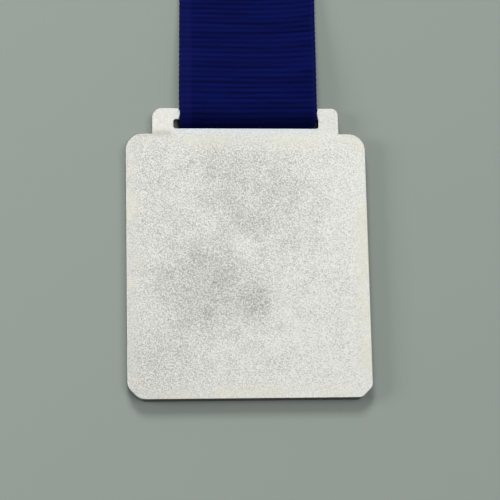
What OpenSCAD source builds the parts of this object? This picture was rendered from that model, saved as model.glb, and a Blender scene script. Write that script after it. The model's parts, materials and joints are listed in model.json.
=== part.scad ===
// Rectangular award medal on a neck ribbon.
// The medal lies face down: +Z points out of its plain back, +Y towards the ribbon.
// The origin is the middle of the metal's footprint, on the surface that its front rim rests on.

/* [Plate] */
// Width of the metal plate
plate_w = 43.3; // [40:0.1:48]
// Height of the plate, without the suspension frame
plate_h = 48; // [45:0.1:54]
// Thickness of the plate, from its front rim to its back face
plate_t = 2.8; // [2.6:0.1:3.4]
// Radius of the two upper corners
upper_corner_r = 3; // [1:0.1:5]
// Leg of the 45 degree cut on the lower left corner, seen from the back
left_cut = 2.2; // [1:0.1:4]
// Leg of the 45 degree cut on the lower right corner, seen from the back
right_cut = 2; // [1:0.1:4]

/* [Suspension frame] */
// Width of the frame that the ribbon hangs in
frame_w = 33.8; // [30:0.1:36]
// Height of the frame above the plate's shoulders
frame_h = 4.8; // [4.6:0.02:5.4]
// Thickness of the frame, down from the plate's back face
frame_t = 2.15; // [2.1:0.05:2.5]
// Length of the slot
slot_w = 26.2; // [26:0.1:27]
// Height of the slot
slot_h = 1.64; // [1.5:0.02:1.8]
// Diameter of the round bar between the slot and the frame's upper edge
bar_d = 2.15; // [1.9:0.05:2.2]
// Sideways place of the slot's middle
slot_x = 0.12; // [-0.4:0.02:0.4]

/* [Front relief] */
// Width of the raised rim round the front
rim_w = 1.8; // [1.2:0.1:2.4]
// Depth of the recessed field inside the rim
recess = 1; // [0.6:0.1:1.2]
// How far the relief stays below the rim
relief_drop = 0.15; // [0.05:0.05:0.3]
// How far the enamel stays below the rim
enamel_drop = 0.45; // [0.2:0.05:0.5]
// Radius of the star's points
star_r = 7.5; // [5:0.1:8.5]
// Width of the metal outline round the star and the banner
cell_wall = 0.7; // [0.4:0.1:1]
// Radius of the laurel wreath's stems
wreath_r = 13.2; // [12.5:0.1:14]
// Pairs of leaves on each branch
leaf_pairs = 5; // [3:1:6]
// Length of one leaf
leaf_l = 4.6; // [3:0.1:5]
// Width of one leaf
leaf_w = 2; // [1.2:0.1:2.4]
// Length of the blank banner
banner_w = 27; // [18:0.5:30]
// Height of the blank banner
banner_h = 6; // [4:0.1:7]

/* [Ribbon] */
// Width of the ribbon
ribbon_w = 24.8; // [20:0.1:25.2]
// Thickness of the ribbon
ribbon_t = 0.42; // [0.3:0.02:0.44]
// Sideways place of the ribbon's middle on the bar
ribbon_x = 0.56; // [0:0.02:0.58]
// Lean of the ribbon to the right, in degrees
ribbon_lean = 1; // [-2:0.1:2]
// Length of the double ribbon between the bar and the folded part
leg_l = 31; // [20:0.5:60]
// Length of the folded part
stack_l = 68; // [50:1:90]
// Height of the folded part
stack_h = 7; // [5:0.1:9]
// Length of the sewn lap that closes the ribbon into a loop
lap_l = 14; // [8:0.5:20]

/* [Storage band] */
// Width of the band that holds the folded part
band_w = 8; // [4:0.5:14]
// Thickness of the band
band_t = 0.26; // [0.2:0.02:0.5]

/* [Hidden] */

arc_steps = 8;       // straight steps in one rounded corner
fine = 64;           // $fn of the true circles
frame_left_r = 1.8;  // rounding of the frame's upper corners, seen from the back
frame_right_r = 1.2;
slot_corner_r = 0.4;
left_soft_r = 2.6;   // rounding at the ends of each lower cut
right_soft_r = 1.5;
bar_clear = 0.08;    // running clearance between bar and ribbon
side_clear = 0.13;   // clearance beside the ribbon, between the thick ends of the bar
band_clear = 0.04;
root_overlap = 1.5;  // how deep the frame is rooted in the plate

plate_y = -frame_h / 2;
shoulder_y = plate_y + plate_h / 2;
frame_top_y = shoulder_y + frame_h;
frame_z = plate_t - frame_t;
bar_y = frame_top_y - bar_d / 2;
bar_z = frame_z + frame_t / 2;
slot_high_y = frame_top_y - bar_d;
slot_low_y = slot_high_y - slot_h;

star_y = plate_y + 5;
banner_y = plate_y - 14.5;
banner_r = 1.2;
star_waist = 0.382;  // inner radius of a regular five-pointed star, as a share of its outer radius
wreath_from = -78;
wreath_to = 48;
leaf_splay = 32;
stem_w = 0.8;

loop_r = bar_d / 2 + bar_clear;
loop_outer_r = loop_r + ribbon_t;
loop_slack = bar_y - slot_low_y - bar_clear - loop_outer_r; // the loop sags until it almost fills the slot
stack_z = band_t + band_clear;
strand_gap = 0.08;
stack_corner_r = 2.2;
stitch_l = 2.1;
stitch_pitch = 2.9;
stitches = 8;
stitch_w = 0.34;
stitch_h = 0.16;
lap_place = 0.78;    // middle of the sewn lap, as a share of the folded part's length
band_place = 0.45;   // middle of the band, likewise
row_place = 0.3;     // distance of each stitch row from the lap's middle, as a share of the lap's length
bar_root = 0.3;      // how deep the bar's ends are rooted in the frame
first_leaf = 0.35;   // place of the lowest leaf pair, in steps from the stem's lower end

function unit(v) = v / norm(v);

// Points of the arc that rounds the corner p of a counter-clockwise outline.
function corner_arc(p, before, after, r) =
    let (u = unit(before - p), v = unit(after - p))
    let (half = acos(u * v) / 2, middle = p + unit(u + v) * r / sin(half))
    let (first = p + u * r / tan(half) - middle)
    let (start = atan2(first.y, first.x), turn = 180 - 2 * half)
    [for (i = [0 : arc_steps])
        middle + r * [cos(start + turn * i / arc_steps), sin(start + turn * i / arc_steps)]];

// Convex outline through corners, each rounded by its own radius. A radius of 0 keeps it sharp.
function rounded(corners, radii) =
    let (n = len(corners))
    [for (k = [0 : n - 1]) each radii[k] == 0 ? [corners[k]]
        : corner_arc(corners[k], corners[(k + n - 1) % n], corners[(k + 1) % n], radii[k])];

function box_corners(low, high) = [low, [high.x, low.y], high, [low.x, high.y]];

module rounded_box(low, high, radii) {
    polygon(rounded(box_corners(low, high), radii));
}

// Outline of the plate, moved inwards by inset.
module plate_outline(inset = 0) {
    x = plate_w / 2 - inset;
    low = plate_y - plate_h / 2 + inset;
    high = shoulder_y - inset;
    left = left_cut - inset * (2 - sqrt(2));
    right = right_cut - inset * (2 - sqrt(2));
    upper = max(upper_corner_r - inset, 0.4);
    soft_left = max(left_soft_r - inset, 0.4);
    soft_right = max(right_soft_r - inset, 0.4);
    polygon(rounded(
        [[x, low + right], [x, high], [-x, high], [-x, low + left], [-x + left, low], [x - right, low]],
        [soft_right, upper, upper, soft_left, soft_left, soft_right]));
}

module five_pointed(r) {
    polygon([for (i = [0 : 9])
        (i % 2 == 0 ? r : r * star_waist) * [cos(90 + 36 * i), sin(90 + 36 * i)]]);
}

module leaf() {
    r = (leaf_l * leaf_l + leaf_w * leaf_w) / (4 * leaf_w);
    translate([leaf_l / 2, 0])
        intersection() {
            translate([0, r - leaf_w / 2])
                circle(r, $fn = fine);
            translate([0, leaf_w / 2 - r])
                circle(r, $fn = fine);
        }
}

// One laurel branch, on the +X side of the star's middle.
module branch() {
    step = (wreath_to - wreath_from) / leaf_pairs;
    for (i = [0 : leaf_pairs - 1])
        rotate(wreath_from + step * (i + first_leaf))
            translate([wreath_r, 0])
                for (side = [-1, 1])
                    rotate(90 + side * leaf_splay)
                        leaf();
    rotate(wreath_to)
        translate([wreath_r, 0])
            rotate(90)
                leaf();
    stem();
}

module stem() {
    step = 6;
    inner = [for (a = [wreath_from : step : wreath_to]) (wreath_r - stem_w / 2) * [cos(a), sin(a)]];
    outer = [for (a = [wreath_to : -step : wreath_from]) (wreath_r + stem_w / 2) * [cos(a), sin(a)]];
    polygon(concat(inner, outer));
}

module wreath() {
    translate([0, star_y]) {
        branch();
        mirror([1, 0])
            branch();
    }
}

module banner(grow = 0) {
    half = [banner_w / 2 + grow, banner_h / 2 + grow];
    r = banner_r + grow;
    translate([0, banner_y])
        rounded_box(-half, half, [r, r, r, r]);
}

module star(r) {
    translate([0, star_y])
        five_pointed(r);
}

// The metal that stands up from the field: wreath, star outline and banner outline.
module relief() {
    wreath();
    difference() {
        star(star_r);
        star(star_r - cell_wall / sin(18));
    }
    difference() {
        banner(cell_wall);
        banner();
    }
}

module frame_outline() {
    difference() {
        rounded_box([-frame_w / 2, shoulder_y - root_overlap], [frame_w / 2, frame_top_y],
                    [0, 0, frame_right_r, frame_left_r]);
        slot();
        bar_gap();
    }
}

module slot() {
    r = slot_corner_r;
    translate([slot_x, 0])
        rounded_box([-slot_w / 2, slot_low_y], [slot_w / 2, slot_high_y], [r, r, r, r]);
}

// The part of the frame's upper edge where the ribbon turns round the bar.
module bar_gap() {
    x = ribbon_w / 2 + side_clear;
    middle_y = (slot_low_y + slot_high_y) / 2;
    translate([ribbon_x - x, middle_y])
        square([2 * x, frame_top_y - middle_y + 1]);
}

module bar() {
    translate([ribbon_x, bar_y, bar_z])
        along_x(ribbon_w + 2 * (side_clear + bar_root))
            circle(bar_d / 2, $fn = fine);
}

// Extrudes an outline drawn in Y and Z along X, centred on X = 0.
module along_x(length) {
    rotate([90, 0, 90])
        linear_extrude(height = length, center = true)
            children();
}

// Extrudes an outline drawn in X and Z along Y, centred on Y = 0.
module along_y(length) {
    rotate([90, 0, 0])
        linear_extrude(height = length, center = true)
            children();
}

// Places a child whose origin is the bar's middle, turned to the ribbon's lean.
module at_bar(lean = 0) {
    translate([ribbon_x, bar_y, bar_z])
        rotate(-lean)
            children();
}

module medal_plate() {
    color([0.80, 0.80, 0.77]) {
        translate([0, 0, recess])
            linear_extrude(height = plate_t - recess)
                plate_outline();
        linear_extrude(height = recess)
            difference() {
                plate_outline();
                plate_outline(rim_w);
            }
        translate([0, 0, relief_drop])
            linear_extrude(height = recess - relief_drop)
                relief();
        translate([0, 0, frame_z])
            linear_extrude(height = frame_t)
                frame_outline();
        bar();
    }
}

// An enamel fill, from its surface on the front to the floor of the recess.
module enamel_fill() {
    translate([0, 0, enamel_drop])
        linear_extrude(height = recess - enamel_drop)
            children();
}

module field_enamel() {
    color([0.04, 0.09, 0.30])
        enamel_fill()
            difference() {
                plate_outline(rim_w);
                wreath();
                star(star_r);
                banner(cell_wall);
            }
}

module star_enamel() {
    color([0.85, 0.62, 0.12])
        enamel_fill()
            star(star_r - cell_wall / sin(18));
}

module banner_enamel() {
    color([0.93, 0.92, 0.88])
        enamel_fill()
            banner();
}

// Half turn of ribbon round the bar, sagging into the slot.
module bight() {
    along_x(ribbon_w)
        difference() {
            bight_outline(loop_outer_r);
            bight_outline(loop_r);
        }
}

// Outline with a half circle of radius r at its lower end, from the sagged turn up to the bar's middle.
module bight_outline(r) {
    translate([-loop_slack, 0])
        intersection() {
            circle(r, $fn = fine);
            translate([-r, -r])
                square([r, 2 * r]);
        }
    translate([-loop_slack, -r])
        square([loop_slack, 2 * r]);
}

// One straight strand from height z0 at the bar to height z1 at the folded part.
module strand(z0, z1) {
    along_x(ribbon_w)
        polygon([[0, z0], [leg_l, z1], [leg_l, z1 + ribbon_t], [0, z0 + ribbon_t]]);
}

module ribbon_loop() {
    low = stack_z - bar_z;
    color([0.04, 0.07, 0.27]) {
        at_bar()
            bight();
        at_bar(ribbon_lean) {
            strand(loop_r, low + ribbon_t + strand_gap);
            strand(-loop_outer_r, low);
        }
    }
}

// The rest of the ribbon, folded to and fro, with the sewn lap on top.
module folded_ribbon() {
    low = stack_z - bar_z;
    high = low + stack_h;
    r = stack_corner_r;
    color([0.04, 0.07, 0.27])
        at_bar(ribbon_lean) {
            along_x(ribbon_w)
                rounded_box([leg_l, low], [leg_l + stack_l, high], [0, r, r, r]);
            translate([-ribbon_w / 2, leg_l + stack_l * lap_place - lap_l / 2, high])
                cube([ribbon_w, lap_l, ribbon_t]);
        }
}

module seam_stitches() {
    top = stack_z - bar_z + stack_h + ribbon_t;
    first = -stitch_pitch * (stitches - 1) / 2;
    color([0.06, 0.09, 0.32])
        at_bar(ribbon_lean)
            for (row = [-1, 1], i = [0 : stitches - 1])
                translate([first + i * stitch_pitch - stitch_l / 2,
                           leg_l + stack_l * lap_place + row * lap_l * row_place - stitch_w / 2, top])
                    cube([stitch_l, stitch_w, stitch_h]);
}

module storage_band() {
    low = -bar_z;
    high = low + stack_h + 2 * (band_t + band_clear);
    outer = [ribbon_w / 2 + band_t + band_clear, high];
    inner = [outer.x - band_t, high - band_t];
    r = band_t + 2 * band_clear; // small enough for the folds' corners to stay clear
    color([0.93, 0.92, 0.88])
        at_bar(ribbon_lean)
            translate([0, leg_l + stack_l * band_place, 0])
                along_y(band_w)
                    difference() {
                        rounded_box([-outer.x, low], outer, [r, r, r, r]);
                        rounded_box([-inner.x, low + band_t], inner, [r, r, r, r] - band_t * [1, 1, 1, 1]);
                    }
}

medal_plate();
field_enamel();
star_enamel();
banner_enamel();
ribbon_loop();
folded_ribbon();
seam_stitches();
storage_band();
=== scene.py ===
"""A rectangular award medal, plain back up, on a blue grosgrain neck ribbon."""

import json
import math

import bpy
import numpy as np
from mathutils import Matrix, Vector, noise


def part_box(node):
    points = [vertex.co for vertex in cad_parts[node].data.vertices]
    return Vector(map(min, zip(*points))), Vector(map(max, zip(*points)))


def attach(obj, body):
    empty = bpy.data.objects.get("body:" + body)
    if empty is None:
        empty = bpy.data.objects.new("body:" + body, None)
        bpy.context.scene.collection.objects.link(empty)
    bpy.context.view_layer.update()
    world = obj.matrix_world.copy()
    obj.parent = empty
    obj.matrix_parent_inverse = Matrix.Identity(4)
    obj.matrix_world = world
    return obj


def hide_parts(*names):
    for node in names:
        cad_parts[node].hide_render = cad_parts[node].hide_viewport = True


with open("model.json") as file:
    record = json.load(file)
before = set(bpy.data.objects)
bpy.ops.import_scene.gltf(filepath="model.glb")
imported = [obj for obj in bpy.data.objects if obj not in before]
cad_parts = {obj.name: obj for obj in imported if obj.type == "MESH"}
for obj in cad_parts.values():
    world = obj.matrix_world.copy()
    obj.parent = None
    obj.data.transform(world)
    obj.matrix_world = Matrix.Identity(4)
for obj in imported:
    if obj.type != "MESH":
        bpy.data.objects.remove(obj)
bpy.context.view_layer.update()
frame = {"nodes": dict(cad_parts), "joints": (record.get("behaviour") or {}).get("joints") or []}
MM = 0.001

# Lengths are in millimetres up to the call that makes a mesh, and angles in degrees.
PLATE_LOW, PLATE_HIGH = (np.array(corner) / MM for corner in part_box("medal_plate"))
BAR_Y, BAR_Z = (value / MM for value in frame["joints"][0]["pos_m"][1:])

PLATE_T = PLATE_HIGH[2]
FRAME_H = 4.8  # the suspension frame's height above the plate's shoulders
FRAME_W = 33.8
FRAME_T = 2.15
FRAME_LEFT_R, FRAME_RIGHT_R = 1.8, 1.2
SHOULDER_Y = PLATE_HIGH[1] - FRAME_H
UPPER_CORNER_R = 3.0
LEFT_CUT, LEFT_SOFT_R = 2.2, 2.6
RIGHT_CUT, RIGHT_SOFT_R = 2.0, 1.5
EDGE_BEVEL = 0.16
SIDE_PAINTED_SHADE = 0.78  # how far the plate's side walls are darkened by painted shade
LOWER_SIDE_PAINTED_SHADE = 0.85  # the same for the lower wall alone, which gets the darkest painted shade
SLOT_X = 0.12
SLOT_W = 26.2
SLOT_H = 1.64
SLOT_CORNER_R = 0.4
BAR_D = 2.15
SIDE_CLEAR = 0.13
RIM_W = 1.8
RECESS = 1.0

RIBBON_W = 24.8
RIBBON_T = 0.42
TUCK = 0.5  # how far the loop's right edge is drawn in where it enters the slot
RIBBON_X = 0.56  # the ribbon's sideways place on the bar
RIBBON_LEAN = 1.0
TURN_R = 1.365  # middle of the ribbon's thickness, from the middle of the bar
BAND_PLACE, BAND_W = 0.45, 8.0
LEG_L = 31.0
STACK_L = 68.0
STACK_Z = 0.30
STACK_H = 7.0
LAYERS = 12
LAP_L = 14.0
LAP_PLACE = 0.78
RIB_PITCH = 0.97
RIB_RELIEF, RIB_SINK = 0.075, 0.040
SELVEDGE_RELIEF = 0.07
FLOOR_HALF = 2.5  # metres

# Where the blasted back is dullest: (middle, radius, share)
DARK_PATCHES = (
    ((-7.2, -6.5), 12.0, 0.62),
    ((1.4, -9.0), 4.8, 0.50),
    ((2.0, 9.0), 14.5, 0.40),
    ((-5.5, 17.0), 6.5, 0.25),
    ((-17.0, -22.0), 12.0, 0.20),
)
LIGHT_PATCH = ((-0.5, 0.8), 3.0)


# ---------------------------------------------------------------- camera, light and floor


def add_camera():
    """Looks down on the back from slightly below and left of the middle, as the picture is taken."""
    azimuth, elevation, roll = math.radians(-23.5), math.radians(77.3), math.radians(-1.21)
    distance, focal_pixels = 320.4, 1800
    target = Vector((0.31, 0.18, PLATE_T))
    back = Vector(
        (
            math.sin(azimuth) * math.cos(elevation),
            -math.cos(azimuth) * math.cos(elevation),
            math.sin(elevation),
        )
    )
    level = (-back).cross(Vector((0, 1, 0))).normalized()
    upright = level.cross(-back)
    right = level * math.cos(roll) + upright * math.sin(roll)
    up = upright * math.cos(roll) - level * math.sin(roll)
    data = bpy.data.cameras.new("camera")
    data.sensor_width = 36
    data.lens = focal_pixels * data.sensor_width / 500
    data.clip_start, data.clip_end = 0.01, 10
    camera = bpy.data.objects.new("camera", data)
    turn = Matrix((right, up, back)).transposed()
    camera.matrix_world = Matrix.Translation((target + back * distance) * MM) @ turn.to_4x4()
    bpy.context.scene.collection.objects.link(camera)
    bpy.context.scene.camera = camera


def place_lamp(data, place):
    """Puts a lamp at place, in metres, facing the medal."""
    lamp = bpy.data.objects.new(data.name, data)
    lamp.location = place
    lamp.rotation_mode = "QUATERNION"
    lamp.rotation_quaternion = (-Vector(place)).to_track_quat("-Z", "Y")
    bpy.context.scene.collection.objects.link(lamp)


def add_lamp(name, place, size, power):
    """A soft square lamp."""
    data = bpy.data.lights.new(name, "AREA")
    data.size, data.energy = size, power
    place_lamp(data, place)


def add_wide_light(name, place, angle, strength):
    """Soft light that is equally strong all over the floor."""
    data = bpy.data.lights.new(name, "SUN")
    data.angle, data.energy = math.radians(angle), strength
    place_lamp(data, place)


def add_light():
    add_lamp("key", (-0.10, 0.62, 0.66), 0.30, 3.0)
    add_lamp("side", (-0.85, 0.05, 0.46), 0.36, 2.3)
    add_wide_light("overhead", (0.30, 0.02, 1.02), 28, 0.59)
    world = bpy.data.worlds.new("studio")
    world.use_nodes = True
    g = Graph(world)
    background = world.node_tree.nodes["Background"]
    background.inputs["Color"].default_value = (0.93, 0.97, 1.0, 1)
    seen = g.node("ShaderNodeLightPath").outputs["Is Camera Ray"]
    g.put(background.inputs["Strength"], g.span(seen, 0, 1, 0.13, 0.34))
    bpy.context.scene.world = world


def add_floor():
    half = FLOOR_HALF
    mesh = bpy.data.meshes.new("floor")
    mesh.from_pydata(
        [(-half, -half, 0), (half, -half, 0), (half, half, 0), (-half, half, 0)], [], [(0, 1, 2, 3)]
    )
    floor = bpy.data.objects.new("floor", mesh)
    bpy.context.scene.collection.objects.link(floor)
    mat, shader = new_material("pale_floor", roughness=0.9)
    shader.inputs["Base Color"].default_value = (0.445, 0.50, 0.45, 1)
    mesh.materials.append(mat)


# ---------------------------------------------------------------- material helpers


def new_material(name, **sockets):
    """A material with one Principled shader. Keyword arguments set the shader's own sockets."""
    mat = bpy.data.materials.new(name)
    mat.use_nodes = True
    shader = mat.node_tree.nodes["Principled BSDF"]
    for key, value in sockets.items():
        shader.inputs[key.replace("_", " ").title().replace("Ior", "IOR")].default_value = value
    return mat, shader


class Graph:
    """Short calls for building a material's nodes."""

    def __init__(self, mat):
        self.tree = mat.node_tree

    def put(self, socket, value):
        if isinstance(value, bpy.types.NodeSocket):
            self.tree.links.new(value, socket)
        elif value is not None:
            socket.default_value = value

    def node(self, kind, **settings):
        made = self.tree.nodes.new(kind)
        for key, value in settings.items():
            setattr(made, key, value)
        return made

    def math(self, operation, a, b=None, clamp=False):
        made = self.node("ShaderNodeMath", operation=operation, use_clamp=clamp)
        self.put(made.inputs[0], a)
        self.put(made.inputs[1], b)
        return made.outputs[0]

    def scaled(self, vector, scale):
        made = self.node("ShaderNodeVectorMath", operation="MULTIPLY")
        self.put(made.inputs[0], vector)
        made.inputs[1].default_value = scale
        return made.outputs[0]

    def place(self):
        """Place on the object in millimetres."""
        where = self.node("ShaderNodeTexCoord").outputs["Object"]
        return self.scaled(where, (1000, 1000, 1000))

    def noise(self, vector, scale, detail=2.0, roughness=0.5):
        made = self.node("ShaderNodeTexNoise")
        self.put(made.inputs["Vector"], vector)
        made.inputs["Scale"].default_value = scale
        made.inputs["Detail"].default_value = detail
        made.inputs["Roughness"].default_value = roughness
        return made.outputs["Fac"]

    def span(self, value, low, high, to_low=0.0, to_high=1.0):
        """Maps low..high to to_low..to_high, held at both ends."""
        made = self.node("ShaderNodeMapRange", interpolation_type="SMOOTHSTEP")
        self.put(made.inputs["Value"], value)
        for key, number in zip(("From Min", "From Max", "To Min", "To Max"), (low, high, to_low, to_high)):
            self.put(made.inputs[key], number)
        return made.outputs["Result"]

    def mix(self, share, a, b):
        made = self.node("ShaderNodeMix", data_type="RGBA")
        self.put(made.inputs[0], share)
        self.put(made.inputs[6], a)
        self.put(made.inputs[7], b)
        return made.outputs[2]

    def bump(self, height, strength, distance):
        made = self.node("ShaderNodeBump")
        self.put(made.inputs["Height"], height)
        self.put(made.inputs["Strength"], strength)
        made.inputs["Distance"].default_value = distance * MM
        return made.outputs["Normal"]


# ---------------------------------------------------------------- materials


def patch(g, x, y, centre, radius):
    """1 in the middle of a round patch, fading to 0 at its edge."""
    dx, dy = g.math("SUBTRACT", x, centre[0]), g.math("SUBTRACT", y, centre[1])
    square = g.math("ADD", g.math("MULTIPLY", dx, dx), g.math("MULTIPLY", dy, dy))
    return g.span(g.math("SQRT", square), radius * 0.25, radius, 1.0, 0.0)


def sandblasted_silver():
    """Fine blasted grain with darker clouds in the middle. Edges and suspension frame are smoother. It also
    carries painted light: shade on the side walls, highlights on the bevels, a blue reflection of the
    ribbon by the slot and a brightness slope across the back.
    """
    mat, shader = new_material("sandblasted_silver", metallic=1.0, roughness=0.55)
    g = Graph(mat)
    where = g.place()
    axes = g.node("ShaderNodeSeparateXYZ")
    g.put(axes.inputs[0], where)
    x, y, _ = axes.outputs
    facing = g.node("ShaderNodeSeparateXYZ")
    g.put(facing.inputs[0], g.node("ShaderNodeTexCoord").outputs["Normal"])
    side = g.span(g.math("ABSOLUTE", facing.outputs[2]), 0.25, 0.75, 1.0, 0.0)

    from_side = g.math("SUBTRACT", PLATE_HIGH[0], g.math("ABSOLUTE", x))
    from_below = g.math("SUBTRACT", y, PLATE_LOW[1])
    from_above = g.math("SUBTRACT", SHOULDER_Y, y)
    inside = g.math("MINIMUM", g.math("MINIMUM", from_side, from_below), from_above)
    middle = g.span(inside, 0.3, 7.0)
    off_ledge = g.span(g.math("ABSOLUTE", x), SLOT_W / 2 - 1.0, SLOT_W / 2 + 0.4)
    frame_share = g.math("MULTIPLY", g.span(y, SHOULDER_Y - 0.8, SHOULDER_Y + 1.0), off_ledge)

    wander = g.noise(where, 0.28, 3.0, 0.5)
    cloud = g.math("MULTIPLY", g.math("MULTIPLY", g.span(wander, 0.42, 0.66), 0.24), middle)
    ragged = g.math("ADD", 0.70, g.math("MULTIPLY", wander, 0.6))
    for centre, radius, share in DARK_PATCHES:
        dark = g.math("MULTIPLY", patch(g, x, y, centre, radius), share)
        cloud = g.math("ADD", cloud, g.math("MULTIPLY", dark, ragged))
    cloud = g.math("SUBTRACT", cloud, g.math("MULTIPLY", patch(g, x, y, *LIGHT_PATCH), 0.5), clamp=True)

    grain = g.span(g.noise(where, 4.2, 2.0, 0.6), 0.30, 0.70)
    blotch = g.span(g.noise(where, 1.3, 2.0, 0.5), 0.32, 0.68)
    depth = g.math("ADD", 0.46, g.math("MULTIPLY", blotch, 0.14))
    depth = g.math("ADD", depth, g.math("MULTIPLY", cloud, 0.16))
    depth = g.math("MULTIPLY", depth, g.math("SUBTRACT", 1.0, g.math("MULTIPLY", frame_share, 0.4)))
    smooth_rim = g.span(inside, 0.8, 3.0, 0.50, 0.0)
    depth = g.math("MULTIPLY", depth, g.math("SUBTRACT", 1.0, smooth_rim))
    speck = g.noise(where, 3.1, 1.0)
    speck = g.math("SUBTRACT", g.span(speck, 0.66, 0.78), g.span(speck, 0.34, 0.22))
    shade = g.math("ADD", 0.80, g.math("MULTIPLY", g.math("SUBTRACT", grain, 0.5), depth))
    shade = g.math("ADD", shade, g.math("MULTIPLY", g.math("MULTIPLY", speck, depth), 0.7))
    shade = g.math("SUBTRACT", shade, g.math("MULTIPLY", cloud, 0.38))
    shade = g.math("SUBTRACT", shade, g.math("MULTIPLY", g.math("SUBTRACT", blotch, 0.5), 0.02), clamp=True)
    # Painted shade: the suspension frame is darker towards the right.
    shade = g.math("SUBTRACT", shade, g.math("MULTIPLY", g.math("MULTIPLY", x, 0.005), frame_share))
    # Painted light: the back is made brighter towards the right and towards the bottom.
    painted_light_slope = g.math("SUBTRACT", x, g.math("MULTIPLY", y, 0.4))
    shade = g.math("ADD", shade, g.math("MULTIPLY", painted_light_slope, 0.0045), clamp=True)
    tone = g.mix(shade, (0.42, 0.42, 0.39, 1), (1.0, 1.0, 0.945, 1))

    rim = g.span(inside, 0.5, 3.5, 1.0, 0.0)
    rim = g.math(
        "SUBTRACT", rim, g.math("MULTIPLY", g.span(y, SHOULDER_Y - 2.0, SHOULDER_Y), 0.7), clamp=True
    )
    cast = g.math("MULTIPLY", rim, g.span(g.noise(where, 0.16, 1.0), 0.45, 0.60))
    tone = g.mix(g.math("MULTIPLY", cast, 0.5), tone, (0.93, 0.90, 0.76, 1))
    root = g.math("ABSOLUTE", g.math("SUBTRACT", y, SHOULDER_Y + 0.1))
    root = g.math(
        "MULTIPLY",
        g.span(root, 0.1, 0.9, 1.0, 0.0),
        g.span(x, -SLOT_W / 2 + 0.5, -SLOT_W / 2 - 1.0),
    )
    tone = g.mix(g.math("MULTIPLY", root, 0.5), tone, (0.60, 0.57, 0.48, 1))
    slot_low = PLATE_HIGH[1] - BAR_D - SLOT_H
    # Painted reflection: the metal below and around the slot is tinted blue, as if it mirrored the ribbon.
    painted_ribbon_reflection = g.math(
        "MULTIPLY", g.span(y, slot_low - 1.6, slot_low - 0.2), g.math("SUBTRACT", 1.0, off_ledge)
    )
    tone = g.mix(g.math("MULTIPLY", painted_ribbon_reflection, 0.6), tone, (0.80, 0.87, 0.93, 1))
    # Painted highlight: the bevels are lightened towards white; they are also made smoother, as worn edges
    # are.
    bevel = g.span(g.math("ABSOLUTE", facing.outputs[2]), 0.97, 0.90)
    straight_down = g.span(g.math("ABSOLUTE", facing.outputs[0]), 0.30, 0.10)
    lower_side = g.math("MULTIPLY", g.span(facing.outputs[1], -0.1, -0.5), g.span(from_below, 3.5, 2.6))
    lower_side = g.math("MULTIPLY", g.math("MULTIPLY", lower_side, straight_down), bevel)
    wear_and_painted_highlight = g.math("SUBTRACT", g.math("SUBTRACT", bevel, side, clamp=True), lower_side, clamp=True)
    tone = g.mix(g.math("MULTIPLY", wear_and_painted_highlight, 0.9), tone, (1.0, 1.0, 0.96, 1))
    # Painted shade: the side walls are darkened.
    tone = g.mix(g.math("MULTIPLY", side, SIDE_PAINTED_SHADE), tone, (0.14, 0.14, 0.137, 1))
    # Painted shade: the lower wall near the bottom edge is darkened almost to black.
    tone = g.mix(g.math("MULTIPLY", lower_side, LOWER_SIDE_PAINTED_SHADE), tone, (0.03, 0.03, 0.029, 1))
    g.put(shader.inputs["Base Color"], tone)
    rough = g.math("SUBTRACT", g.span(grain, 0.0, 1.0, 0.66, 0.54), g.math("MULTIPLY", side, 0.22))
    g.put(shader.inputs["Roughness"], g.math("SUBTRACT", rough, g.math("MULTIPLY", wear_and_painted_highlight, 0.12)))
    strength = g.math("SUBTRACT", 0.40, g.math("MULTIPLY", frame_share, 0.30))
    g.put(shader.inputs["Normal"], g.bump(grain, strength, 0.05))
    return mat


def enamel(name, colour):
    """Glossy filled resin: an even colour with faint clouding and a slightly wavy surface."""
    mat, shader = new_material(name, roughness=0.16, coat_weight=0.5, coat_roughness=0.05)
    g = Graph(mat)
    where = g.place()
    darker = tuple(0.82 * c for c in colour) + (1,)
    g.put(
        shader.inputs["Base Color"],
        g.mix(g.span(g.noise(where, 0.35, 3.0), 0.35, 0.65), darker, (*colour, 1)),
    )
    g.put(shader.inputs["Normal"], g.bump(g.noise(where, 0.5, 1.0), 0.3, 0.05))
    return mat


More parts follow.
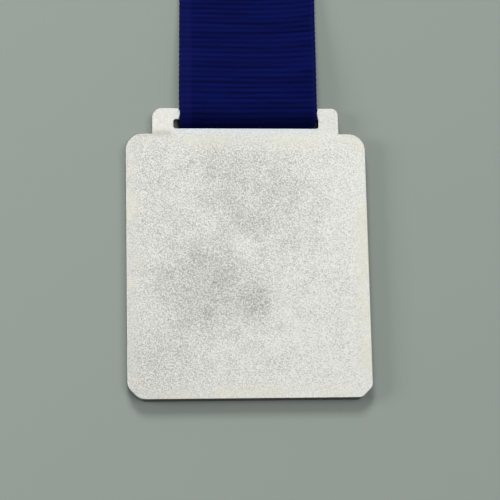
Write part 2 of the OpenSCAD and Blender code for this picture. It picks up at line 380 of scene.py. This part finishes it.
def grosgrain(bend_rib):
    """Deep blue ribbed weave with painted shade: darker in the valleys between ribs and darkest at
    bend_rib, where the ribbon turns down into the slot.

    The map 'weave' holds millimetres across and the rib's number along the ribbon.
    """
    mat, shader = new_material("blue_grosgrain", roughness=0.7, sheen_weight=0.02, sheen_roughness=0.45)
    shader.inputs["Sheen Tint"].default_value = (0.25, 0.35, 1.0, 1)
    shader.inputs["Specular IOR Level"].default_value = 0.04
    g = Graph(mat)
    weave = g.node("ShaderNodeUVMap", uv_map="weave").outputs["UV"]
    axes = g.node("ShaderNodeSeparateXYZ")
    g.put(axes.inputs[0], weave)
    across, rib = axes.outputs[0], axes.outputs[1]
    # Painted shade: the valleys between the ribs are darker than the crests.
    valley = g.math("MULTIPLY", g.math("PINGPONG", rib, 0.5), 2.0)
    streak = g.noise(g.scaled(weave, (0.07, 1.0, 1.0)), 0.9, 2.0, 0.6)
    bend = g.math("ABSOLUTE", g.math("SUBTRACT", rib, bend_rib))
    fibre = g.noise(g.scaled(weave, (5.0, 1.4, 1.0)), 1.0, 2.0, 0.7)
    light = g.math(
        "ADD",
        g.math("MULTIPLY", g.span(valley, 0.0, 0.8), 0.46),
        g.math("MULTIPLY", g.span(streak, 0.36, 0.64), 0.32),
    )
    light = g.math("ADD", light, g.math("MULTIPLY", g.math("SUBTRACT", fibre, 0.5), 0.5))
    # Painted shade: the ribs are darkened near bend_rib, where the ribbon turns down into the slot.
    light = g.math("MULTIPLY", light, g.span(bend, 2.0, 4.6, 0.2, 1.0), clamp=True)
    body = g.mix(light, (0.0006, 0.0028, 0.042, 1), (0.0040, 0.0098, 0.146, 1))
    edge = g.math(
        "MAXIMUM",
        g.span(across, RIBBON_W / 2 - 0.9, RIBBON_W / 2 - 0.4),
        g.span(across, 1.6 - RIBBON_W / 2, 2.4 - RIBBON_W / 2, 1.0, 0.0),
    )
    selvedge = g.mix(light, (0.0034, 0.0052, 0.070, 1), (0.0078, 0.0118, 0.142, 1))
    g.put(shader.inputs["Base Color"], g.mix(edge, body, selvedge))
    warp = g.math("PINGPONG", g.math("MULTIPLY", across, 1 / 0.28), 0.5)
    g.put(shader.inputs["Normal"], g.bump(g.math("ADD", warp, fibre), 0.5, 0.05))
    return mat


def thread():
    mat, shader = new_material("seam_thread", roughness=0.45, sheen_weight=0.2)
    g = Graph(mat)
    where = g.place()
    twist = g.noise(g.scaled(where, (2.0, 6.0, 6.0)), 1.5, 2.0)
    g.put(
        shader.inputs["Base Color"],
        g.mix(g.span(twist, 0.35, 0.65), (0.016, 0.026, 0.20, 1), (0.045, 0.07, 0.40, 1)),
    )
    g.put(shader.inputs["Normal"], g.bump(twist, 0.5, 0.05))
    return mat


def elastic():
    """White woven elastic. The map 'weave' holds millimetres along and across the band."""
    mat, shader = new_material("white_elastic", roughness=0.8, sheen_weight=0.3, sheen_roughness=0.4)
    g = Graph(mat)
    weave = g.node("ShaderNodeUVMap", uv_map="weave").outputs["UV"]
    fibre = g.noise(g.scaled(weave, (6.0, 2.5, 1.0)), 1.0, 2.0, 0.6)
    g.put(
        shader.inputs["Base Color"],
        g.mix(g.span(fibre, 0.3, 0.7), (0.62, 0.61, 0.57, 1), (0.85, 0.84, 0.80, 1)),
    )
    g.put(shader.inputs["Normal"], g.bump(fibre, 0.5, 0.04))
    return mat


# ---------------------------------------------------------------- outlines and solid meshes


def rounded(corners, radii, steps=10):
    """Counter-clockwise outline with each corner rounded by its own radius. 0 keeps it sharp."""
    points = []
    corners = [np.array(c, float) for c in corners]
    for k, (corner, radius) in enumerate(zip(corners, radii)):
        if radius == 0:
            points.append(corner)
            continue
        to_before = corners[k - 1] - corner
        to_after = corners[(k + 1) % len(corners)] - corner
        u, v = to_before / np.linalg.norm(to_before), to_after / np.linalg.norm(to_after)
        half = math.acos(float(u @ v)) / 2
        middle = corner + (u + v) / np.linalg.norm(u + v) * radius / math.sin(half)
        first = corner + u * radius / math.tan(half) - middle
        start = math.atan2(first[1], first[0])
        turn = math.copysign(math.pi - 2 * half, u[1] * v[0] - u[0] * v[1])
        for i in range(steps + 1):
            angle = start + turn * i / steps
            points.append(middle + radius * np.array([math.cos(angle), math.sin(angle)]))
    return np.array(points)


def plate_outline(inset):
    x = PLATE_HIGH[0] - inset
    low, high = PLATE_LOW[1] + inset, SHOULDER_Y - inset
    left = LEFT_CUT - inset * (2 - math.sqrt(2))
    right = RIGHT_CUT - inset * (2 - math.sqrt(2))
    upper = max(UPPER_CORNER_R - inset, 0.4)
    soft_left = max(LEFT_SOFT_R - inset, 0.4)
    soft_right = max(RIGHT_SOFT_R - inset, 0.4)
    corners = [
        (x, low + right), (x, high), (-x, high), (-x, low + left), (-x + left, low), (x - right, low)
    ]
    return rounded(corners, [soft_right, upper, upper, soft_left, soft_left, soft_right])


def inset_outline(points, inset):
    """The outline moved inwards along its mitred corners, for an inset smaller than its features."""
    before, after = np.roll(points, 1, 0), np.roll(points, -1, 0)
    along_in = (points - before) / np.linalg.norm(points - before, axis=1)[:, None]
    along_out = (after - points) / np.linalg.norm(after - points, axis=1)[:, None]
    normal_in = np.stack([-along_in[:, 1], along_in[:, 0]], 1)
    normal_out = np.stack([-along_out[:, 1], along_out[:, 0]], 1)
    mitre = normal_in + normal_out
    return points + mitre * (2 * inset / (mitre**2).sum(1))[:, None]


def mesh_object(name, points, faces, mat=None):
    """An object from points in millimetres."""
    mesh = bpy.data.meshes.new(name)
    mesh.from_pydata([tuple(float(v) * MM for v in p) for p in points], [], faces)
    mesh.validate()
    made = bpy.data.objects.new(name, mesh)
    bpy.context.scene.collection.objects.link(made)
    if mat:
        mesh.materials.append(mat)
    return made


def stacked_rings(name, rings):
    """A closed solid from rings of equal length, lowest first, each an (outline, height) pair."""
    count = len(rings[0][0])
    points = [(*xy, z) for outline, z in rings for xy in outline]
    faces = [tuple(range(count - 1, -1, -1))]
    for r in range(len(rings) - 1):
        for i in range(count):
            j = (i + 1) % count
            faces.append((r * count + i, r * count + j, (r + 1) * count + j, (r + 1) * count + i))
    faces.append(tuple(range((len(rings) - 1) * count, len(rings) * count)))
    return mesh_object(name, points, faces)


def bevel_steps(bevel, steps=3):
    """(inset, rise) pairs of a quarter-round edge, from the flat face to the side."""
    angles = [math.pi / 2 * i / steps for i in range(steps + 1)]
    return [(bevel * (1 - math.sin(a)), bevel * (1 - math.cos(a))) for a in angles]


def bevelled_prism(name, outline, low, high, bevel):
    lower = [(inset_outline(outline, inset), low + rise) for inset, rise in bevel_steps(bevel)]
    upper = [(ring, low + high - z) for ring, z in reversed(lower)]
    return stacked_rings(name, lower + upper)


def combine(target, tool, operation):
    """Applies a boolean to target and removes the tool."""
    modifier = target.modifiers.new("combine", "BOOLEAN")
    modifier.operation, modifier.solver, modifier.object = operation, "EXACT", tool
    graph = bpy.context.evaluated_depsgraph_get()
    mesh = bpy.data.meshes.new_from_object(target.evaluated_get(graph))
    target.modifiers.clear()
    old = target.data
    target.data = mesh
    bpy.data.meshes.remove(old)
    bpy.data.objects.remove(tool)


def smooth_shading(piece, angle=35):
    """Smooth shading that keeps edges sharper than angle and leaves large faces flat."""
    mesh = piece.data
    mesh.polygons.foreach_set("use_smooth", [True] * len(mesh.polygons))
    mesh.set_sharp_from_angle(angle=math.radians(angle))
    weighted = piece.modifiers.new("flat_faces", "WEIGHTED_NORMAL")
    weighted.weight, weighted.keep_sharp = 100, True


# ---------------------------------------------------------------- metal


def plate_solid():
    """The plate with its bevelled edges, its front rim and the recess inside the rim."""
    rim_edge = 0.12
    outer = [(plate_outline(inset), rise) for inset, rise in bevel_steps(EDGE_BEVEL)]
    side = outer + [(ring, PLATE_T - z) for ring, z in reversed(outer)]
    recess = [
        (plate_outline(RIM_W + rim_edge), RECESS),
        (plate_outline(RIM_W), RECESS - rim_edge),
        (plate_outline(RIM_W), rim_edge),
        (plate_outline(RIM_W - rim_edge), 0.0),
    ]
    return stacked_rings("medal_back_and_rim", recess + side)


def frame_solid():
    """The frame, flush with the back: side walls, the bar's thick ends, the slot and its ledge."""
    top, slot_high = PLATE_HIGH[1], PLATE_HIGH[1] - BAR_D
    root_y, slot_low = SHOULDER_Y - 1.5, slot_high - SLOT_H
    half, gap, way = FRAME_W / 2, SLOT_W / 2, RIBBON_W / 2 + SIDE_CLEAR
    outline = [
        (half, root_y),
        (half, top),
        (RIBBON_X + way, top),
        (RIBBON_X + way, slot_high),
        (SLOT_X + gap, slot_high),
        (SLOT_X + gap, slot_low),
        (SLOT_X - gap, slot_low),
        (SLOT_X - gap, slot_high),
        (RIBBON_X - way, slot_high),
        (RIBBON_X - way, top),
        (-half, top),
        (-half, root_y),
    ]
    r = SLOT_CORNER_R
    radii = [0, FRAME_RIGHT_R, 0.25, 0, 0, r, r, r, 0.25, 0.25, FRAME_LEFT_R, 0]
    return bevelled_prism("frame", rounded(outline, radii), PLATE_T - FRAME_T, PLATE_T, EDGE_BEVEL)


def slot_draft():
    """The sloping end wall that the casting leaves at the slot's left end."""
    slot_high = PLATE_HIGH[1] - BAR_D
    slot_low, x = slot_high - SLOT_H, SLOT_X - SLOT_W / 2
    section = [(x - 0.2, 0.75), (x + 0.85, 0.75), (x + 0.85, 1.5), (x + 0.1, 2.25), (x - 0.2, 2.25)]
    points = [(px, y, pz) for y in (slot_low - 0.1, slot_high + 0.1) for px, pz in section]
    faces = [(0, 1, 2, 3, 4), (9, 8, 7, 6, 5)] + [
        (i, i + 5, (i + 1) % 5 + 5, (i + 1) % 5) for i in range(5)
    ]
    return mesh_object("draft", points, faces)


def bar_solid():
    """The round bar that the ribbon hangs on, its ends inside the frame."""
    radius, sides, reach = BAR_D / 2 - 0.01, 40, RIBBON_W / 2 + SIDE_CLEAR + 0.3
    angles = [2 * math.pi * i / sides for i in range(sides)]
    points = [
        (RIBBON_X + end * reach, BAR_Y + radius * math.cos(a), BAR_Z + radius * math.sin(a))
        for end in (-1, 1)
        for a in angles
    ]
    faces = [tuple(range(sides - 1, -1, -1)), tuple(range(sides, 2 * sides))]
    faces += [(i, (i + 1) % sides, sides + (i + 1) % sides, sides + i) for i in range(sides)]
    return mesh_object("bar", points, faces)


def relief_solid():
    """Wreath, star and banner outlines of the front, cut from the CAD plate above the recess floor."""
    node = frame["nodes"]["medal_plate"]
    relief = bpy.data.objects.new("relief", node.data.copy())
    bpy.context.scene.collection.objects.link(relief)
    window = stacked_rings(
        "window", [(plate_outline(RIM_W + 0.3), -1.0), (plate_outline(RIM_W + 0.3), RECESS + 0.1)]
    )
    combine(relief, window, "INTERSECT")
    return relief


def make_medal():
    medal = plate_solid()
    for part in (frame_solid(), slot_draft(), bar_solid(), relief_solid()):
        combine(medal, part, "UNION")
    medal.name = "medal_casting"
    medal.data.materials.clear()
    medal.data.materials.append(sandblasted_silver())
    smooth_shading(medal)
    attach(medal, "medal")
    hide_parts("medal_plate")


def finish_enamels():
    """The CAD enamel fills keep their shape and get their own materials."""
    colours = {
        "field_enamel": (0.012, 0.035, 0.22),
        "star_enamel": (0.72, 0.42, 0.03),
        "banner_enamel": (0.85, 0.84, 0.79),
    }
    for node, colour in colours.items():
        piece = frame["nodes"][node]
        piece.data.materials.clear()
        piece.data.materials.append(enamel(node + "_resin", colour))


# ---------------------------------------------------------------- ribbon


def stack_level(index):
    """Height of a layer's middle above the surface."""
    return STACK_Z + (index + 0.5) * STACK_H / LAYERS


def run(y0, z0, y1, z1, ease=False):
    """Points of one straight or S-shaped stretch, 0.1 mm apart."""
    count = max(2, int(abs(y1 - y0) / 0.1))
    t = np.linspace(0, 1, count, endpoint=False)
    blend = t * t * (3 - 2 * t) if ease else t
    return np.stack([y0 + (y1 - y0) * t, z0 + (z1 - z0) * blend], 1)


def turn(y, z0, z1, side):
    """Points of the half circle from height z0 to z1 that bulges towards side, +1 or -1."""
    r = abs(z1 - z0) / 2
    angles = np.linspace(0, math.pi, max(8, int(math.pi * r / 0.1)), endpoint=False)
    rise = math.copysign(1, z1 - z0)
    return np.stack([y + side * r * np.sin(angles), (z0 + z1) / 2 - rise * r * np.cos(angles)], 1)


def bight():
    """The slack turn round the bar: over its edge, down against the slot's ledge and back underneath."""
    r = TURN_R
    over = [
        (2.5, r + 0.12), (1.2, r + 0.10), (0.0, r + 0.02), (-0.7, r - 0.14), (-1.35, 0.95), (-2.0, 0.40)
    ]
    under = [(-2.46, -0.3), (-2.2, -1.0), (-1.4, -r), (4.0, -r)]
    shape = over + under
    points = []
    for (y0, z0), (y1, z1) in zip(shape, shape[1:]):
        share = np.linspace(0, 1, max(2, int(math.hypot(y1 - y0, z1 - z0) / 0.1)), endpoint=False)
        points.append(np.stack([y0 + (y1 - y0) * share, BAR_Z + z0 + (z1 - z0) * share], 1))
    return np.concatenate(points)


def fold_place(low_level, side):
    """Where the turn that starts at this level has its middle. The folds don't quite line up."""
    reach = 0.5 * 3 * STACK_H / LAYERS + RIBBON_T
    wander = 0.5 * noise.noise(Vector((low_level * 0.61, side * 3.7, 0.4)))
    far = LEG_L + STACK_L - reach - 0.4
    near = LEG_L + reach + 0.4
    return (far if side > 0 else near) + wander


def ribbon_path():
    """The ribbon's centreline from one end of the lap to the other: (distance from the bar, height)."""
    lap_y = LEG_L + STACK_L * LAP_PLACE
    top = LAYERS - 1
    down = [top] + [n for n in reversed(range(LAYERS)) if n % 4 in (1, 2)]
    up = [n for n in range(LAYERS) if n % 4 in (0, 3)]
    pieces, y, z = [], lap_y + LAP_L / 2, stack_level(top)
    side = -1
    for here, after in zip(down, down[1:]):
        place = fold_place((here + after) // 4, side)
        pieces.append(run(y, z, place, stack_level(here)))
        pieces.append(turn(place, stack_level(here), stack_level(after), side))
        y, z, side = place, stack_level(after), -side
    settle = LEG_L - 6.0
    pieces.append(run(y, z, settle, z))
    pieces.append(run(settle, z, 2.5, BAR_Z + TURN_R + 0.12, ease=True))
    pieces.append(bight())
    pieces.append(run(4.0, BAR_Z - TURN_R, settle, stack_level(0), ease=True))
    y, side = settle, 1
    for here, after in zip(up, up[1:]):
        place = fold_place((here + after) // 4, side)
        pieces.append(run(y, stack_level(here), place, stack_level(here)))
        pieces.append(turn(place, stack_level(here), stack_level(after), side))
        y, side = place, -side
    over = stack_level(top) + RIBBON_T + 0.10
    pieces.append(run(y, stack_level(top), lap_y + LAP_L / 2 + 2.5, stack_level(top)))
    pieces.append(run(lap_y + LAP_L / 2 + 2.5, stack_level(top), lap_y + LAP_L / 2 - 0.5, over, ease=True))
    pieces.append(run(lap_y + LAP_L / 2 - 0.5, over, lap_y - LAP_L / 2, over))
    return np.concatenate(pieces)


def smoothed(path, reach=5):
    """Takes the small corners out of the path where its pieces meet."""
    kernel = np.hanning(2 * reach + 3)[1:-1]
    kernel /= kernel.sum()
    padded = np.pad(path, ((reach, reach), (0, 0)), mode="edge")
    return np.stack([np.convolve(padded[:, k], kernel, mode="valid") for k in range(path.shape[1])], 1)


def lean_at(y):
    """(sideways shift, lean in radians) of the ribbon at a distance y from the bar."""
    start, full = 1.0, 7.0
    slope = math.tan(math.radians(RIBBON_LEAN))
    t = np.clip((y - start) / (full - start), 0, 1)
    shift = slope * ((full - start) * (t**3 - t**4 / 2) + np.maximum(y - full, 0))
    return shift, np.radians(RIBBON_LEAN) * t * t * (3 - 2 * t)


def from_band(y):
    """0 under the elastic band, rising to 1 at the ends of the folded part, and 0 again near the medal."""
    middle = LEG_L + STACK_L * BAND_PLACE
    away = np.clip((abs(y - middle) - BAND_W / 2) / 26, 0, 1)
    return away * np.clip((y - 23) / 7, 0, 1)


def stray(s, y):
    """How far the ribbon has strayed sideways at the length s. The layers don't quite line up."""
    return 0.75 * noise.noise(Vector((s * 0.023, 5.5, 0.3))) * float(from_band(y)) ** 0.5


def loft(y, z):
    """The height of a point once the folds have sprung apart a little away from the band."""
    return z + 0.055 * max(0.0, z - STACK_Z) * float(from_band(y))


def rib_samples(length_along, path, total):
    """Places along the path where rows of points go. No row cuts across a valley between ribs."""
    ribs = int(total / RIB_PITCH)
    rows = []
    for i in range(ribs):
        s = (i + 0.5) * RIB_PITCH
        y, z = (np.interp(s, length_along, path[:, k]) for k in (0, 1))
        shown = y < LEG_L and z > BAR_Z - 1.0
        crest = z > stack_level(LAYERS - 2) + 0.1
        folding = y > LEG_L + STACK_L - 3.5 or LEG_L - 0.5 < y < LEG_L + 3.5
        count = 8 if shown else 6 if folding else 5 if crest else 3
        rows += [(i + j / count) * RIB_PITCH for j in range(count)]
    rows.append(ribs * RIB_PITCH)
    return np.array(rows)


def ribbon_columns():
    """Places across the ribbon with the half thickness there: a thin body between two rolled selvedges."""
    w, t = RIBBON_W / 2, RIBBON_T / 2
    inner = np.linspace(-(w - 1.25), w - 1.25, 8)
    half = [(0.0, 0.0), (0.10, t * 0.85), (0.45, t * 1.12), (0.85, t * 0.80)]
    left = [(-w + x, h) for x, h in half]
    right = [(w - x, h) for x, h in reversed(half)]
    return np.array(left + [(x, t) for x in inner] + right)


def bow(s, bend_s, total):
    """How far the ribs bow towards the right selvedge: not at all in the slot or at the cut ends."""
    inside = min(1.0, s / 10, (total - s) / 10)
    return 0.55 * (1 - math.cos(2 * math.pi * (bend_s - s) / 45)) * inside


def make_ribbon():
    path = smoothed(ribbon_path())
    steps = np.linalg.norm(np.diff(path, axis=0), axis=1)
    along = np.concatenate([[0], np.cumsum(steps)])
    rows = rib_samples(along, path, along[-1])
    bend_s = float(along[np.argmin(path[:, 0])])
    columns = ribbon_columns()
    count = len(columns)
    ring = list(range(count)) + list(range(count - 2, 0, -1))
    faces_up = [1] * count + [-1] * (count - 2)
    points, weave = [], []
    for s in rows:
        rib = s / RIB_PITCH
        share = rib - math.floor(rib + 1e-9)
        swell = math.sin(math.pi * share) ** 0.6 if 0 < share < 1 else 0.0
        sag = bow(s, bend_s, along[-1])
        strength = 0.85 + 0.5 * noise.noise(Vector((math.floor(rib + 1e-9) * 0.77, 1.3, 0)))
        for k, up in zip(ring, faces_up):
            x, half = columns[k]
            u = 2 * x / RIBBON_W
            skew = 0.15 * u * u + 0.85 * max(0.0, u) ** 2
            bend = 0.20 * noise.noise(Vector((x * 0.05, s * 0.05, 2.1))) - 0.010 * x - skew * sag
            here = min(max(s + bend, 0.0), along[-1] - 0.02)
            y, z = np.interp(here, along, path[:, 0]), np.interp(here, along, path[:, 1])
            y2, z2 = np.interp(here + 0.1, along, path[:, 0]), np.interp(here + 0.1, along, path[:, 1])
            y1, z1 = np.interp(here - 0.1, along, path[:, 0]), np.interp(here - 0.1, along, path[:, 1])
            tuck = TUCK * max(0.0, min(1.0, -(y + 1.0) / TURN_R))
            tangent = np.array([y2 - y1, z2 - z1])
            tangent /= np.linalg.norm(tangent)
            inner_share = min(1.0, (RIBBON_W / 2 - x) / 0.8, 0.25 + (RIBBON_W / 2 + x) / 2.6)
            thick = half + (RIB_RELIEF * swell * strength - RIB_SINK) * inner_share if half else 0.0
            edge = SELVEDGE_RELIEF * swell if k in (0, count - 1) else 0.0
            across = x + math.copysign(edge, x) - tuck * max(0.0, (x - RIBBON_W / 2 + 3) / 3)
            offset = up * thick
            py, pz = y + tangent[1] * offset, z - tangent[0] * offset
            across += stray(s, y)
            pz = loft(py, pz)
            shift, lean = lean_at(py)
            points.append(
                (RIBBON_X + shift + across * math.cos(lean), BAR_Y + py - across * math.sin(lean), pz)
            )
            weave.append((x, rib))
    size = len(ring)
    faces = [tuple(range(size)), tuple(range(len(points) - 1, len(points) - size - 1, -1))]
    for r in range(len(rows) - 1):
        for i in range(size):
            j = (i + 1) % size
            faces.append((r * size + j, r * size + i, (r + 1) * size + i, (r + 1) * size + j))
    ribbon = mesh_object("neck_ribbon", points, faces, grosgrain(bend_s / RIB_PITCH))
    add_weave_map(ribbon, weave)
    ribbon.data.polygons.foreach_set("use_smooth", [True] * len(ribbon.data.polygons))
    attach(ribbon, "ribbon")
    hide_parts("ribbon_loop", "folded_ribbon")
    return along[-1]


def add_weave_map(piece, weave):
    layer = piece.data.uv_layers.new(name="weave")
    for loop in piece.data.loops:
        layer.data[loop.index].uv = weave[loop.vertex_index]


def on_stack(x, y, z):
    """A place given along the leaning ribbon, in the medal's frame."""
    shift, lean = lean_at(np.array(y))
    x, z = x * math.cos(float(lean)), loft(y, z)
    return (RIBBON_X + float(shift) + x, BAR_Y + y - x * math.sin(float(lean)), z)


def make_stitches():
    """Two rows of straight stitches across the lap, each thread diving into the ribbon at both ends."""
    radius, length, pitch, per_row, sides, steps = 0.21, 2.1, 2.9, 8, 8, 8
    top = stack_level(LAYERS - 1) + RIBBON_T * 1.5 + 0.16
    lap_y = LEG_L + STACK_L * LAP_PLACE
    points, faces = [], []
    for row in (-1, 1):
        for i in range(per_row):
            x0 = (i - (per_row - 1) / 2) * pitch
            first = len(points)
            for j in range(steps + 1):
                t = j / steps
                x = x0 + (t - 0.5) * length
                drop = 0.30 * (2 * t - 1) ** 4
                for k in range(sides):
                    a = 2 * math.pi * k / sides
                    r = radius * (1 - 0.35 * (2 * t - 1) ** 6)
                    y = lap_y + row * LAP_L * 0.3 + r * math.cos(a) + 0.05 * math.sin(9 * x0)
                    points.append(on_stack(x, y, top + r * 0.8 * math.sin(a) - drop))
            for j in range(steps):
                for k in range(sides):
                    a, b = first + j * sides + k, first + j * sides + (k + 1) % sides
                    faces.append((a, b, b + sides, a + sides))
            faces.append(tuple(first + k for k in reversed(range(sides))))
            faces.append(tuple(first + steps * sides + k for k in range(sides)))
    piece = mesh_object("seam_stitching", points, faces, thread())
    smooth_shading(piece, 60)
    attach(piece, "ribbon")
    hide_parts("seam_stitches")


def make_band():
    """The elastic band round the folds, with fine ridges running along it."""
    half_x, low, high = RIBBON_W / 2 + 0.2, 0.14, STACK_Z + STACK_H + 0.16
    width, thick, ridges = BAND_W, 0.22, 8
    loop = rounded([(-half_x, low), (half_x, low), (half_x, high), (-half_x, high)], [0.7] * 4, 8)
    loop = np.concatenate([loop, loop[:1]])
    lengths = np.concatenate([[0], np.cumsum(np.linalg.norm(np.diff(loop, axis=0), axis=1))])
    stations = np.linspace(0, lengths[-1], 150, endpoint=False)
    across = np.linspace(-width / 2, width / 2, ridges * 4 + 1)
    middle_y = LEG_L + STACK_L * BAND_PLACE
    centre = np.array([0.0, (low + high) / 2])
    points, weave = [], []
    for s in stations:
        here = np.array([np.interp(s, lengths, loop[:, k]) for k in (0, 1)])
        after = np.array([np.interp((s + 0.05) % lengths[-1], lengths, loop[:, k]) for k in (0, 1)])
        tangent = (after - here) / np.linalg.norm(after - here)
        out = np.array([tangent[1], -tangent[0]])
        out *= math.copysign(1, out @ (here - centre))
        for side in (1, -1):
            for w in across if side > 0 else across[::-1]:
                ridge = 0.07 * abs(math.sin(math.pi * ridges * (w / width + 0.5)))
                edge = 0.06 * (abs(w) > width / 2 - 0.05)
                x, z = here + out * side * (thick / 2 - 0.03 + ridge - edge)
                points.append(on_stack(x, middle_y + w, z))
                weave.append((s, w))
    size = 2 * len(across)
    faces = []
    for r in range(len(stations)):
        after = (r + 1) % len(stations)
        for i in range(size):
            j = (i + 1) % size
            faces.append((r * size + i, r * size + j, after * size + j, after * size + i))
    band = mesh_object("elastic_band", points, faces, elastic())
    add_weave_map(band, weave)
    band.data.polygons.foreach_set("use_smooth", [True] * len(band.data.polygons))
    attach(band, "ribbon")
    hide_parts("storage_band")


# ---------------------------------------------------------------- the scene

add_camera()
ribbon_length = make_ribbon()
make_stitches()
make_band()
make_medal()
finish_enamels()
add_light()
add_floor()
bpy.context.scene.view_settings.view_transform = "Standard"
print("ribbon centreline", round(ribbon_length, 1), "mm")
